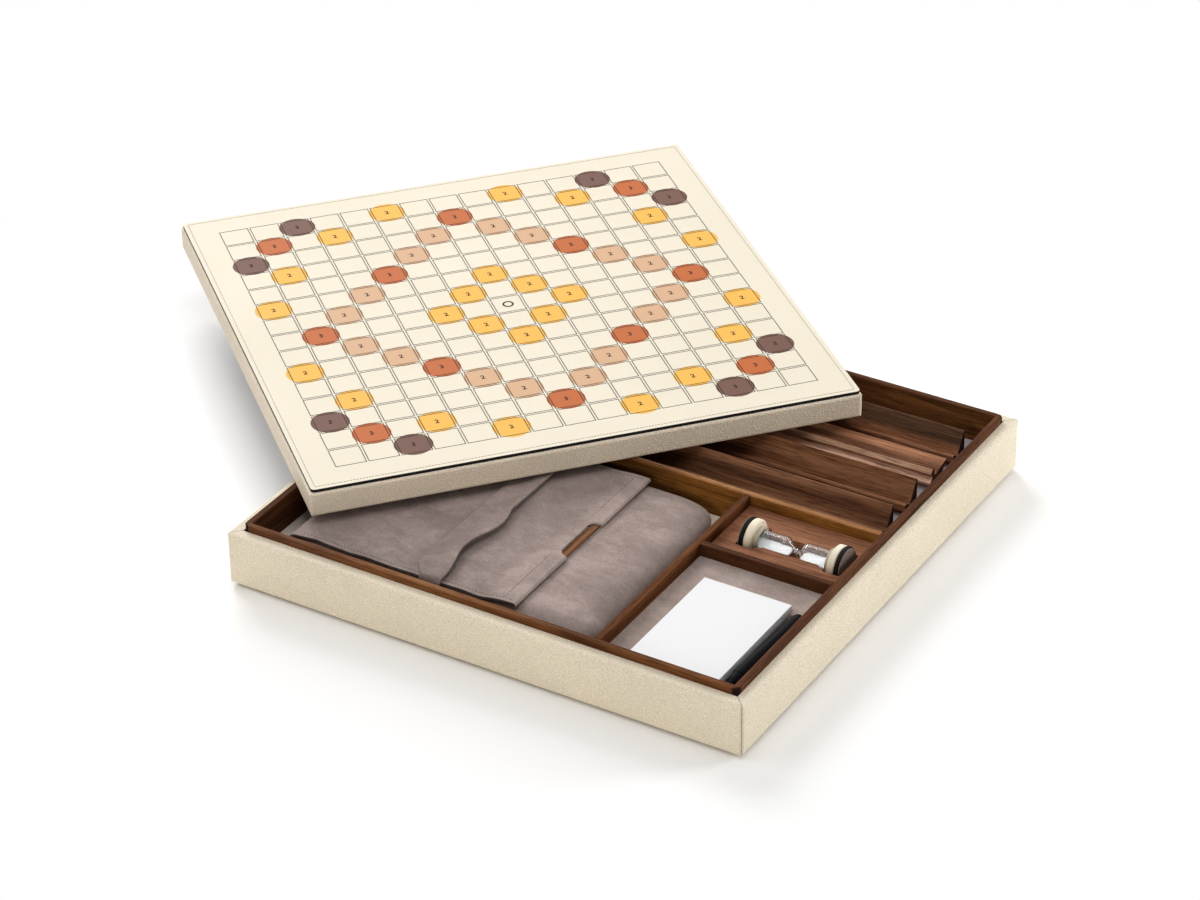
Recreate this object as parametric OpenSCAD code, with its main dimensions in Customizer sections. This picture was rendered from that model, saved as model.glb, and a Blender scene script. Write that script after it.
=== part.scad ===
// Word tile game in a square leather-wrapped case: a fitted base, a lift-off lid that is the playing board,
// four racks, a tile pouch, a sand timer, a notepad and a pen. The lid lies turned on the base, as in use.
// Millimetres, +Z up. The origin is the centre of the base's underside, X along its front edge, Y to the back.

/* [Case] */
// Side of the square base and lid
case_w = 400; // [360:1:440]
// Height of the base's leather rim
rim_z = 42; // [40:0.5:48]
// Height of the floors of the compartments
floor_z = 22; // [20:0.5:26]
// Thickness of the leather
leather_t = 1.2; // [0.8:0.1:2]
// Thickness of the pad under the base
pad_t = 2; // [1.5:0.1:3]

/* [Walnut] */
// Thickness of the frame boards
frame_t = 4.7; // [4:0.1:7]
// Visible width of the leather rim outside the frame
rim_w = 8.3; // [7:0.1:12]
// How far the frame stands above the leather rim
lip_h = 5; // [3:0.5:7]
// Thickness of the dividers
divider_t = 5; // [4:0.1:7]
// Front face of the long divider, from the middle of the case
long_y = 11; // [5:1:20]
// Left face of the front divider
front_x = 83; // [75:1:90]
// Front face of the cross divider
cross_y = -58; // [-65:1:-50]

/* [Lid] */
// Height of the lid's side, without the playing mat
lid_h = 18.3; // [16:0.1:24]
// Depth of the recess under the lid
lid_recess = 10.2; // [9:0.1:12]
// Thickness of each of the mat's two layers
mat_ply = 1.2; // [0.8:0.1:2]
// Turn of the lid on the base, in degrees
lid_turn = 48.98; // [0:0.01:90]
// Middle of the turned lid, left to right
lid_x = -175.6; // [-180:0.1:-160]
// Middle of the turned lid, front to back
lid_y = 120.4; // [100:0.1:130]

/* [Racks] */
// Length of a rack
rack_len = 353; // [300:1:360]
// Height of a rack
rack_h = 22.9; // [18:0.1:23]
// Slope of the face that the tiles lean on, in degrees
rack_slope = 58; // [50:1:60]
// Length of that face
rack_face = 17.5; // [16:0.5:18]
// Backs of the standing racks, from the middle of the case
rack_backs = [52.4, 90.2, 162.8];
// Where the tipped rack meets the floor, from the middle of the case
tipped_y = 117.5; // [112:0.1:122]
// How far it leans back, in degrees
tipped_lean = 46; // [42:1:50]

/* [Timer] */
// Length of the sand timer
timer_len = 77; // [74:1:84]
// Radius of its end caps
timer_r = 13.5; // [12:0.5:14]
// Outer radius of the glass
glass_r = 7.8; // [6:0.1:9]
// Wall of the glass
glass_wall = 0.9; // [0.7:0.1:1.2]
// Outer radius of the neck
neck_r = 1.9; // [1.6:0.1:3]

/* [Notepad and pen] */
// Width of the notepad
pad_w = 66; // [60:1:68]
// Length of the notepad
pad_len = 100; // [90:1:102]
// Thickness of the notepad
pad_h = 6; // [4:0.5:8]
// Radius of the pen
pen_r = 4.9; // [4:0.1:5.2]
// Length of the pen
pen_len = 92; // [80:1:93]

/* [Pouch] */
// Width of the pouch between its folds
pouch_w = 244; // [200:1:250]
// Length of the pouch, front to back
pouch_len = 180; // [160:1:185]
// Height of the filled pouch
pouch_h = 16.2; // [15:0.1:17]
// Right edge of the flap, from the middle of the case
flap_x = 14; // [5:1:30]
// Thickness of the flap
flap_t = 2; // [1.5:0.1:2.5]
// Side of a letter tile
tile_w = 19; // [17:0.5:19.5]
// Thickness of a letter tile
tile_t = 5; // [4:0.5:5.5]

/* [Hidden] */

// Colours of the materials
cream = [0.93, 0.90, 0.82];
walnut = [0.42, 0.28, 0.19];
dark_walnut = [0.20, 0.13, 0.09];
taupe = [0.60, 0.54, 0.51];
grey_suede = [0.68, 0.67, 0.66];
board_brown = [0.62, 0.50, 0.36];
ink = [0.09, 0.09, 0.11];
paper = [0.97, 0.97, 0.97];

// Base: half widths of the outside, of the frame's outer and inner faces, and the heights of its layers
half = case_w / 2;
core_half = half - leather_t;
frame_out = half - rim_w;
frame_in = frame_out - frame_t;
frame_top = rim_z + lip_h;
pad_show = 0.8;
lining_t = 2;
deck_z = floor_z - lining_t;
edge_low_r = 5;
edge_top_r = 2.2;
corner_r = 3;
turn_in = 22;
lip_r = 0.8;

// Chamfer on the frame's corners, and the dark spline let into it
chamfer = 3;
spline_t = 1.2;
spline_cut = chamfer + spline_t * sqrt(2);

// Compartments
cradle_top = floor_z + 17;
platform_top = floor_z + 15.5;
right_bay_x = front_x + divider_t;
timer_y0 = cross_y + divider_t;

// Lid, in its own frame: the middle of its rim's underside is the origin
lid_rest_gap = 0.2;
lid_z = frame_top + lid_rest_gap;
recess_half = frame_out + 0.6;
lining_skin = 0.8;
rail_in = recess_half + lining_skin;
panel_z = lid_recess + lining_skin;
mat_half = half - 1.4;

// Timer, along X
timer_x = (right_bay_x + frame_in) / 2 + 4.2;
timer_y = (timer_y0 + long_y) / 2 - 0.5;
timer_z = cradle_top - 1;
disc_t = 0.8;
band_t = 3.2;
cap_t = 5.5;
step_t = 3.4;
step_r = timer_r - 3.6;
shoulder = 8.5;

// Notepad and pen
notepad_x = right_bay_x + 18.2;
notepad_y = -frame_in + 3;
sheet_recess = 2;
pen_slot_y = -89;
pen_yaw = 2.6;
pen_x = 179.2;
pen_tip_y = -182;
pen_nose_l = 15;
pen_floor = platform_top - 6;

// Pouch
pouch_right = 78;
pouch_left = pouch_right - pouch_w;
pouch_y = -176;
pouch_lift = 0.3;
pouch_z = floor_z + pouch_lift;
fold_r = pouch_h / 2;
tiles_x = 10;
tiles_y = 5;
tile_pitch = tile_w + 0.6;

$fn = 48;

// Shared shapes

// A rectangle with round corners, centred
module round_rect(hw, hd, r) {
    square([2 * (hw - r), 2 * hd], center = true);
    square([2 * hw, 2 * (hd - r)], center = true);
    for (sx = [-1, 1], sy = [-1, 1])
        translate([sx * (hw - r), sy * (hd - r)]) circle(r, $fn = 32);
}

// A standing section with its bottom and top corners eased by different radii
module eased_section(hw, z0, z1, r_low, r_top) {
    translate([-hw, z0 + r_low]) square([2 * hw, z1 - z0 - r_low - r_top]);
    translate([r_low - hw, z0]) square([2 * (hw - r_low), z1 - z0 - r_top]);
    translate([r_top - hw, z0 + r_low]) square([2 * (hw - r_top), z1 - z0 - r_low]);
    for (s = [-1, 1]) {
        translate([s * (hw - r_low), z0 + r_low]) circle(r_low, $fn = 32);
        translate([s * (hw - r_top), z1 - r_top]) circle(r_top, $fn = 32);
    }
}

// A square block with rounded vertical corners and softened top and bottom edges, mitred at the corners
module soft_block(hw, z0, z1, r_low, r_top) intersection() {
    translate([0, 0, z0]) linear_extrude(z1 - z0) round_rect(hw, hw, corner_r);
    for_both_ways(hw) eased_section(hw, z0, z1, r_low, r_top);
}

// The space that a section sweeps along X and along Y at once
module for_both_ways(hw) intersection() {
    translate([0, hw, 0]) rotate([90, 0, 0]) linear_extrude(2 * hw) children();
    translate([-hw, 0, 0]) rotate([90, 0, 90]) linear_extrude(2 * hw) children();
}

// A centred square slab
module slab(hw, z0, z1) {
    translate([-hw, -hw, z0]) cube([2 * hw, 2 * hw, z1 - z0]);
}

// A board standing on edge along X, with its two top edges eased
module board(len, t, z0, z1) {
    rotate([90, 0, 90]) linear_extrude(len) {
        translate([0, z0]) square([t, z1 - z0 - lip_r]);
        translate([lip_r, z0]) square([t - 2 * lip_r, z1 - z0]);
        for (u = [lip_r, t - lip_r]) translate([u, z1 - lip_r]) circle(lip_r, $fn = 24);
    }
}

// Puts a shape drawn in the lid's own frame where the lid lies
module on_lid() {
    translate([lid_x, lid_y, lid_z]) rotate([0, 0, lid_turn]) children();
}

// Base

module underside_pad() color(grey_suede) slab(half - turn_in + 4, 0, pad_t);

module base_bottom_board() color(board_brown) slab(frame_out, pad_t, deck_z);

module base_walls() color(board_brown) difference() {
    soft_block(core_half, pad_t, rim_z - leather_t, edge_low_r - leather_t, edge_top_r - leather_t);
    slab(frame_out, 0, rim_z + 1);
}

// Wrapped round the walls, over the rim to the frame and under the base to the pad
module base_leather() color(cream) difference() {
    soft_block(half, pad_show, rim_z, edge_low_r, edge_top_r);
    soft_block(core_half, pad_t, rim_z - leather_t, edge_low_r - leather_t, edge_top_r - leather_t);
    slab(frame_out, rim_z - leather_t - 1, rim_z + 1);
    slab(half - turn_in + 4, 0, pad_t + 1);
}

// One mitred frame board, on the front side, with its corners cut for the splines
module frame_board() {
    m = frame_out - spline_cut / 2;
    intersection() {
        translate([-frame_out, -frame_out, 0]) board(2 * frame_out, frame_t, deck_z, frame_top);
        linear_extrude(frame_top + 1) polygon([
            [-frame_in, -frame_in], [frame_in, -frame_in], [m, -m],
            [frame_out - spline_cut, -frame_out], [spline_cut - frame_out, -frame_out], [-m, -m]]);
    }
}

module frame_front() color(walnut) frame_board();
module frame_right() color(walnut) rotate([0, 0, 90]) frame_board();
module frame_back() color(walnut) rotate([0, 0, 180]) frame_board();
module frame_left() color(walnut) rotate([0, 0, 270]) frame_board();

module corner_splines() color(dark_walnut)
    for (k = [0 : 3]) rotate([0, 0, 90 * k]) translate([frame_out - chamfer / 2, chamfer / 2 - frame_out, deck_z])
        rotate([0, 0, 45]) translate([-chamfer / sqrt(2), 0, 0])
            cube([chamfer * sqrt(2), spline_t, frame_top - deck_z - 0.3]);

module long_divider() color(walnut)
    translate([-frame_in, long_y, 0]) board(2 * frame_in, divider_t, deck_z, frame_top);

module front_divider() color(walnut) translate([right_bay_x, -frame_in, 0]) rotate([0, 0, 90])
    board(frame_in + long_y, divider_t, deck_z, frame_top);

module cross_divider() color(walnut) translate([right_bay_x, cross_y, 0])
    board(frame_in - right_bay_x, divider_t, deck_z, frame_top);

module rack_bay_floor() color(grey_suede) translate([-frame_in, long_y + divider_t, deck_z])
    cube([2 * frame_in, frame_in - long_y - divider_t, lining_t]);

module pouch_bay_floor() color(cream) translate([-frame_in, -frame_in, deck_z])
    cube([frame_in + front_x, frame_in + long_y, lining_t]);

// A suede-covered block with a shallow bed for the notepad, open on its right to the pen's slot
module notepad_platform() color(taupe) difference() {
    translate([right_bay_x, -frame_in, deck_z])
        cube([frame_in - right_bay_x, frame_in + cross_y, platform_top - deck_z]);
    translate([notepad_x - 0.5, notepad_y - 0.5, platform_top - sheet_recess])
        cube([pad_w + 1, pad_len + 1, sheet_recess + 1]);
    translate([notepad_x + pad_w, -frame_in - 1, pen_floor])
        cube([frame_in, pen_slot_y + frame_in + 1, 20]);
}

// A walnut block with a bed that follows the timer: round pockets for the caps and a trough for the glass
pocket_l = 10.5;
flare_l = 7;
trough_gap = 1.2;
module timer_cradle() color(walnut) difference() {
    translate([right_bay_x, timer_y0, deck_z])
        cube([frame_in - right_bay_x, long_y - timer_y0, cradle_top - deck_z]);
    translate([timer_x, timer_y, timer_z]) rotate([0, 90, 0]) {
        for (s = [0, 1]) mirror([0, 0, s]) {
            translate([0, 0, timer_len / 2 - pocket_l]) cylinder(r = timer_r + 0.7, h = pocket_l + 1);
            translate([0, 0, timer_len / 2 - pocket_l - flare_l])
                cylinder(r1 = glass_r + trough_gap, r2 = timer_r + 0.7, h = flare_l + 0.01);
        }
        cylinder(r = glass_r + trough_gap, h = timer_len - 2 * pocket_l, center = true);
    }
}

// Lid and playing mat

module lid_rails() color(board_brown) on_lid() difference() {
    soft_block(core_half, leather_t, lid_h - leather_t, edge_top_r - leather_t, edge_top_r - leather_t);
    slab(rail_in, 0, lid_h);
    slab(half, panel_z, lid_h);
}

module lid_panel() color(board_brown) on_lid() intersection() {
    soft_block(core_half, leather_t, lid_h - leather_t, edge_top_r - leather_t, edge_top_r - leather_t);
    slab(half, panel_z, lid_h);
}

module lid_leather() color(cream) on_lid() difference() {
    soft_block(half, 0, lid_h, edge_top_r, edge_top_r);
    soft_block(core_half, leather_t, lid_h - leather_t, edge_top_r - leather_t, edge_top_r - leather_t);
    slab(rail_in, -1, leather_t + 1);
}

module lid_lining() color(grey_suede) on_lid() difference() {
    slab(rail_in, 0.2, panel_z);
    slab(recess_half, -1, lid_recess);
}

module mat_core() color(ink) on_lid() translate([0, 0, lid_h])
    linear_extrude(mat_ply) round_rect(mat_half, mat_half, corner_r);

module board_mat() color(cream) on_lid() translate([0, 0, lid_h + mat_ply])
    linear_extrude(mat_ply) round_rect(mat_half, mat_half, corner_r);

// Racks

// Section of a rack, front to the left: a nose over a set-back foot, a ledge square to the leaning face, and a
// straight back. The back's lower edge is cut off at the tipped rack's lean, so that a rack also stands tipped.
rack_d = 17.65;
ledge = 5.5;
foot_cut = [4.5, 5.4];
heel = 3.5;
heel_z = heel * tan(tipped_lean);
face_top = [rack_d - 1.4, rack_h - 0.7];
face_low = face_top - rack_face * [cos(rack_slope), sin(rack_slope)];
nose_top = face_low + ledge * [-sin(rack_slope), cos(rack_slope)];
nose_r = 1.5;
nose_c = nose_top + nose_r * [-cos(rack_slope), -sin(rack_slope)];
nose_arc = [for (a = [rack_slope - 8 : 20 : 180]) nose_c + nose_r * [cos(a), sin(a)]];
ridge_r = 0.9;
ridge_arc = [for (a = [0 : 22.5 : 112.5]) [rack_d - ridge_r, rack_h - ridge_r] + ridge_r * [cos(a), sin(a)]];

module rack_section() polygon(concat(
    [[foot_cut[0], 0], [rack_d - heel, 0], [rack_d, heel_z]], ridge_arc, [face_low], nose_arc,
    [[nose_c[0] - nose_r, foot_cut[1]], [foot_cut[0], foot_cut[1]]]));

// A rack with its back bottom edge on the X axis
module rack() color(walnut) translate([-rack_len / 2, -rack_d, 0])
    rotate([90, 0, 90]) linear_extrude(rack_len) rack_section();

rack_lift = 0.1;
rack_shift = [0, -1.2, -0.9];
module standing_rack(k) translate([rack_shift[k], rack_backs[k], floor_z + rack_lift]) rack();

module rack_1() standing_rack(0);
module rack_2() standing_rack(1);
module rack_3() translate([-1.3, tipped_y, floor_z + rack_lift]) rotate([-tipped_lean, 0, 0])
    translate([0, heel, 0]) rack();
module rack_4() standing_rack(2);

// Pouch

// A folded block of the pouch: round folds left and right, cut off square at front and back
module folded_block(z_low, z_high) intersection() {
    translate([0, pouch_y + pouch_len, pouch_z]) rotate([90, 0, 0]) linear_extrude(pouch_len) {
        translate([pouch_left + fold_r, 0]) square([pouch_w - 2 * fold_r, pouch_h]);
        for (x = [pouch_left + fold_r, pouch_right - fold_r]) translate([x, fold_r]) circle(fold_r, $fn = 64);
    }
    translate([pouch_left - 1, pouch_y - 1, pouch_z + z_low]) cube([pouch_w + 2, pouch_len + 2, z_high - z_low]);
}

tiles_x0 = (pouch_left + pouch_right) / 2 - tiles_x * tile_pitch / 2;
tiles_y0 = pouch_y + pouch_len / 2 - tiles_y * tile_pitch / 2;
tiles_z0 = pouch_z + fold_r - tile_t - 0.15;

module tile_space() translate([tiles_x0 - 0.4, tiles_y0 - 0.4, tiles_z0 - 0.3])
    cube([tiles_x * tile_pitch + 0.8, tiles_y * tile_pitch + 0.8, 2 * tile_t + 0.9]);

module pouch_back() color(taupe) difference() { folded_block(0, fold_r); tile_space(); }
module pouch_front() color(taupe) difference() { folded_block(fold_r, pouch_h); tile_space(); }

// The flap lies over the front from the left fold to its hem. The hem folds over a walnut slat, which keeps the
// mouth of the pouch straight and shows through a thumb notch.
flap_z = pouch_z + pouch_h;
hem_w = 16;
slat_t = 2;
notch_y = 34;
notch_r = 7;

module flap_section() polygon([[pouch_left + fold_r, 0], [flap_x - hem_w, 0], [flap_x - hem_w + 1.5, slat_t + 0.1],
    [flap_x - 1, slat_t + 0.1], [flap_x - 1, 0], [flap_x, 0], [flap_x, slat_t + 1], [flap_x - 1.2, slat_t + 2],
    [flap_x - hem_w + 0.5, slat_t + 2], [flap_x - hem_w - 2, flap_t], [pouch_left + fold_r, flap_t]]);

module pouch_flap() color(taupe) difference() {
    translate([0, pouch_y + pouch_len - 2, flap_z]) rotate([90, 0, 0]) linear_extrude(pouch_len - 4) flap_section();
    translate([flap_x, pouch_y + pouch_len / 2, flap_z - 1]) {
        translate([-notch_r, -notch_y / 2, 0]) cube([notch_r + 1, notch_y, slat_t + 4]);
        for (s = [-1, 1]) translate([0, s * notch_y / 2, 0]) cylinder(r = notch_r, h = slat_t + 4);
    }
}

module closure_slat() color(walnut) translate([flap_x - hem_w + 2, pouch_y + 6, flap_z + 0.05])
    cube([hem_w - 3.3, pouch_len - 12, slat_t - 0.1]);

// The strap crosses the flap from front to back. Its right edge waves at the front and its left front corner is cut.
strap_n = 24;
strap_y = [for (i = [0 : strap_n]) i / strap_n];
function strap_right(t) = -47.5 - (t < 0.52 ? 3.8 * sin(900 * t - 108) : 0);
function strap_left(t) = -69 + 0.8 * t + (t < 0.04 ? 8 : 0);
module pouch_strap() color(taupe) translate([0, pouch_y + 1, flap_z + flap_t]) linear_extrude(2.4)
    polygon(concat([for (t = strap_y) [strap_right(t), t * (pouch_len - 2)]],
        [for (i = [strap_n : -1 : 0]) [strap_left(i / strap_n), i / strap_n * (pouch_len - 2)]]));

module letter_tiles() color(cream)
    for (i = [0 : tiles_x - 1], j = [0 : tiles_y - 1], k = [0, 1])
        translate([tiles_x0 + (i + 0.5) * tile_pitch - tile_w / 2, tiles_y0 + (j + 0.5) * tile_pitch - tile_w / 2,
            tiles_z0 + k * (tile_t + 0.3)]) cube([tile_w, tile_w, tile_t]);

// Sand timer

// Radius of the glass at a distance from the neck, eased into the straight tubes
function glass_at(x, wall) = let (t = min(abs(x) / shoulder, 1))
    max(neck_r + (glass_r - neck_r) * (1 - cos(180 * t)) / 2 - wall, neck_r - 1.1);
glass_half = timer_len / 2 - disc_t - band_t - 1.5;
glass_x = concat([-glass_half], [for (i = [-8 : 8]) i * shoulder / 8], [glass_half]);

module on_timer() translate([timer_x, timer_y, timer_z]) rotate([0, 90, 0]) children();

module timer_glass() color([0.85, 0.9, 0.92, 0.35]) on_timer() rotate_extrude()
    polygon(concat([for (x = glass_x) [glass_at(x, 0), x]],
        [for (i = [len(glass_x) - 1 : -1 : 0]) [glass_at(glass_x[i], glass_wall), glass_x[i]]]));

// The sand lies level in the lower half of each bulb
sand_end = glass_half - 0.3;
sand_from = 2.2;
sand_x = concat([sand_from], [for (i = [3 : 8]) i * shoulder / 8], [sand_end]);
module sand_bulb() intersection() {
    rotate([0, 90, 0]) rotate_extrude() polygon(concat(
        [[0, sand_from]], [for (x = sand_x) [glass_at(x, glass_wall + 0.15), x]], [[0, sand_end]]));
    translate([0, -glass_r, -glass_r]) cube([timer_len, 2 * glass_r, glass_r + 0.6]);
}
module timer_sand() color(paper) translate([timer_x, timer_y, timer_z]) {
    sand_bulb();
    rotate([0, 0, 180]) sand_bulb();
}

// A turned cap with a step and a socket for the glass, drawn on the +X end
module timer_cap() rotate([0, 90, 0]) translate([0, 0, timer_len / 2 - disc_t - band_t]) mirror([0, 0, 1])
    rotate_extrude($fn = 64) polygon([[0, 0], [timer_r - 0.8, 0], [timer_r, 0.8], [timer_r, cap_t - 1],
        [timer_r - 1, cap_t], [step_r, cap_t], [step_r, cap_t + step_t - 0.6], [step_r - 0.6, cap_t + step_t],
        [glass_r + 0.05, cap_t + step_t], [glass_r + 0.05, 1.4], [0, 1.4]]);

module timer_cap_right() color(cream) translate([timer_x, timer_y, timer_z]) timer_cap();
module timer_cap_left() color(cream) translate([timer_x, timer_y, timer_z]) rotate([0, 0, 180]) timer_cap();

module both_ends() for (s = [0, 1]) translate([timer_x, timer_y, timer_z]) rotate([0, 90, 180 * s]) children();

module timer_bands() color(ink) both_ends() translate([0, 0, timer_len / 2 - disc_t - band_t])
    rotate_extrude($fn = 64) polygon([[0, 0], [timer_r - 0.4, 0], [timer_r + 0.3, 0.7],
        [timer_r + 0.3, band_t - 0.7], [timer_r - 0.4, band_t], [0, band_t]]);

module timer_end_discs() color(taupe) both_ends() translate([0, 0, timer_len / 2 - disc_t])
    cylinder(r = timer_r - 0.8, h = disc_t, $fn = 64);

// Notepad

card_t = 0.8;
module notepad_card() color(grey_suede) translate([notepad_x, notepad_y, platform_top - sheet_recess])
    cube([pad_w, pad_len, card_t]);

module notepad_sheets() color(paper) translate([notepad_x, notepad_y, platform_top - sheet_recess + card_t])
    cube([pad_w, pad_len, pad_h - card_t]);

// Pen, tip to the front

cap_l = 9;
module on_pen() translate([pen_x, (pen_tip_y + pen_slot_y) / 2, pen_floor + pen_r + 0.2])
    rotate([0, 0, -pen_yaw]) rotate([90, 0, 0]) translate([0, 0, -pen_len / 2]) children();

// Along the pen: the end cap, the barrel, the nose cone and the refill's tip
module pen_end_cap() color(ink) on_pen() rotate_extrude() polygon([[0, 0], [pen_r - 1.4, 0],
    [pen_r - 0.5, 0.6], [pen_r - 0.2, 2], [pen_r - 0.2, cap_l - 0.4], [0, cap_l - 0.4]]);

module pen_barrel() color(ink) on_pen() rotate_extrude() polygon([[0, cap_l - 0.4], [pen_r - 0.3, cap_l - 0.4],
    [pen_r, cap_l], [pen_r, pen_len - pen_nose_l - 1], [pen_r - 0.3, pen_len - pen_nose_l],
    [0, pen_len - pen_nose_l]]);

module pen_nose() color(ink) on_pen() rotate_extrude() polygon([[0, pen_len - pen_nose_l],
    [pen_r - 0.4, pen_len - pen_nose_l], [pen_r - 1.2, pen_len - 9], [1.6, pen_len - 3.4],
    [1.3, pen_len - 3], [0, pen_len - 3]]);

module pen_refill() color("silver") on_pen() rotate_extrude() polygon([[0, pen_len - 3], [0.8, pen_len - 3],
    [0.8, pen_len - 1.6], [0.35, pen_len], [0, pen_len]]);

underside_pad();
base_bottom_board();
base_walls();
base_leather();
frame_front();
frame_back();
frame_left();
frame_right();
corner_splines();
long_divider();
front_divider();
cross_divider();
rack_bay_floor();
pouch_bay_floor();
notepad_platform();
timer_cradle();
lid_rails();
lid_panel();
lid_leather();
lid_lining();
mat_core();
board_mat();
rack_1();
rack_2();
rack_3();
rack_4();
pouch_back();
pouch_front();
pouch_flap();
pouch_strap();
closure_slat();
letter_tiles();
timer_glass();
timer_sand();
timer_cap_left();
timer_cap_right();
timer_bands();
timer_end_discs();
notepad_sheets();
notepad_card();
pen_barrel();
pen_nose();
pen_refill();
pen_end_cap();
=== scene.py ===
# Dresses the word tile game case: a finish on every node, the printed playing board, the suede pouch with
# its flap and strap, the notepad's loose sheets, the timer's loose sand and the thread, on a pale floor under
# soft studio light. Pieces are drawn in millimetres; shaders work in metres.
import math

import bpy
from mathutils import Matrix, Vector, noise


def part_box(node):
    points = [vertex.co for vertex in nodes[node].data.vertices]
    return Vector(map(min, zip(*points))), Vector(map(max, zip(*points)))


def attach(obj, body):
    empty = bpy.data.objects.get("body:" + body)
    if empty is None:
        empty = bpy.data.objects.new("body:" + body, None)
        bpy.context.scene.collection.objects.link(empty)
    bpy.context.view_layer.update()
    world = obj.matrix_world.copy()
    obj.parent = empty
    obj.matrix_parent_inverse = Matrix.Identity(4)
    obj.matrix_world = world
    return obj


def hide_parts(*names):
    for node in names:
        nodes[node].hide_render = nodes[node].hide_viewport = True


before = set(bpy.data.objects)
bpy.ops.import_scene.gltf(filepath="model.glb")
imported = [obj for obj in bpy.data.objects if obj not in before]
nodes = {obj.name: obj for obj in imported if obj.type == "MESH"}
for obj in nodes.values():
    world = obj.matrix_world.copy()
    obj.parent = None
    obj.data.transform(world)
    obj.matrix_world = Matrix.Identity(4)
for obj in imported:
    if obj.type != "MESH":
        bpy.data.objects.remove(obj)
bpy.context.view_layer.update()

MM = 0.001

# The lid's place on the base, which is drawn in its own frame
LID_TURN = math.radians(48.98)
LID_LOW, LID_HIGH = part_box("board_mat")
LID_MIDDLE = (LID_LOW + LID_HIGH) / 2
LID_FRAME = Matrix.Translation((LID_MIDDLE.x, LID_MIDDLE.y, 0)) @ Matrix.Rotation(LID_TURN, 4, "Z")
BOARD_TOP = LID_HIGH.z / MM
MAT_HALF = 198.6

# The playing grid: its pitch, the side and width of each square's own line, and the printed discs
CELL = 23.5
CELL_LINE = 22.1
LINE_W = 0.52
HALF_CELLS = 7
DISC_R = 13.75
DISC_SIDES = 40


def box_mm(node):
    low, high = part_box(node)
    return low / MM, high / MM


# Shaders


class Finish:
    """A material whose nodes feed one Principled shader."""

    def __init__(self, name, **sockets):
        self.material = bpy.data.materials.new(name)
        self.material.use_nodes = True
        self.tree = self.material.node_tree
        self.shader = self.tree.nodes["Principled BSDF"]
        for socket, value in sockets.items():
            self.shader.inputs[socket.replace("_", " ")].default_value = value

    def feed(self, socket, value):
        if isinstance(value, bpy.types.NodeSocket):
            self.tree.links.new(value, socket)
        else:
            socket.default_value = value

    def node(self, kind, inputs=None, **settings):
        made = self.tree.nodes.new("ShaderNode" + kind)
        for key, value in settings.items():
            setattr(made, key, value)
        for socket, value in (inputs or {}).items():
            self.feed(made.inputs[socket], value)
        return made

    def object_coords(self):
        return self.node("TexCoord").outputs["Object"]

    def object_normal(self):
        return self.node("TexCoord").outputs["Normal"]

    def stretched(self, scale, offset=(0, 0, 0)):
        """Object coordinates with each axis scaled, in repeats per metre"""
        made = self.node("Mapping", {"Vector": self.object_coords(), "Scale": scale, "Location": offset})
        return made.outputs["Vector"]

    def noise(self, vector, scale=1.0, detail=3.0, roughness=0.55, distortion=0.0):
        made = self.node("TexNoise", {"Vector": vector, "Scale": scale, "Detail": detail,
                                      "Roughness": roughness, "Distortion": distortion})
        return made.outputs["Fac"]

    def creases(self, vector, size):
        """Distance to the nearest edge of cells of about a size in millimetres"""
        made = self.node("TexVoronoi", {"Vector": vector, "Scale": 1 / (size * MM)},
                         feature="DISTANCE_TO_EDGE")
        return made.outputs["Distance"]

    def math(self, operation, a, b=0.0, c=0.0):
        return self.node("Math", {0: a, 1: b, 2: c}, operation=operation).outputs[0]

    def vector_math(self, operation, a, b=(0, 0, 0)):
        return self.node("VectorMath", {0: a, 1: b}, operation=operation)

    def span(self, value, low, high):
        """0 below low, 1 above high, and a straight rise between"""
        made = self.node("MapRange", {"Value": value, "From Min": low, "From Max": high}, clamp=True)
        return made.outputs["Result"]

    def split(self, vector):
        return self.node("SeparateXYZ", {"Vector": vector}).outputs

    def mix(self, factor, a, b, blend="MIX"):
        made = self.node("Mix", data_type="RGBA", blend_type=blend)
        for index, value in ((0, factor), (6, a), (7, b)):
            self.feed(made.inputs[index], rgba(value) if isinstance(value, tuple) else value)
        return made.outputs[2]

    def times(self, colour, factor):
        return self.mix(1.0, colour, factor, "MULTIPLY")

    def ramp(self, factor, stops):
        made = self.node("ValToRGB", {"Fac": factor})
        ramp = made.color_ramp
        for index, (at, colour) in enumerate(stops):
            element = ramp.elements[index] if index < 2 else ramp.elements.new(at)
            element.position = at
            element.color = rgba(colour)
        return made.outputs["Color"]

    def bump(self, height, distance, strength=1.0):
        made = self.node("Bump", {"Height": height, "Distance": distance * MM, "Strength": strength})
        return made.outputs["Normal"]

    def colour(self, value):
        self.feed(self.shader.inputs["Base Color"], rgba(value) if isinstance(value, tuple) else value)
        return self

    def surface(self, normal):
        self.feed(self.shader.inputs["Normal"], normal)
        return self

    def rough(self, value):
        self.feed(self.shader.inputs["Roughness"], value)
        return self


def rgba(colour):
    return (*colour[:3], 1.0)


def scaled(colour, factor):
    return tuple(c * factor for c in colour)


# How far the leather's creases wander in millimetres, the tints of creases, nap and pores, and the painted
# shade on a cap's collar
WANDER = 1.8
CREASE_SHADE = (0.80, 0.785, 0.77)
NAP_SHADE = (0.78, 0.775, 0.78)
PORE_SHADE = (0.52, 0.47, 0.44)
COLLAR_PAINTED_SHADE = (0.52, 0.50, 0.50)


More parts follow.
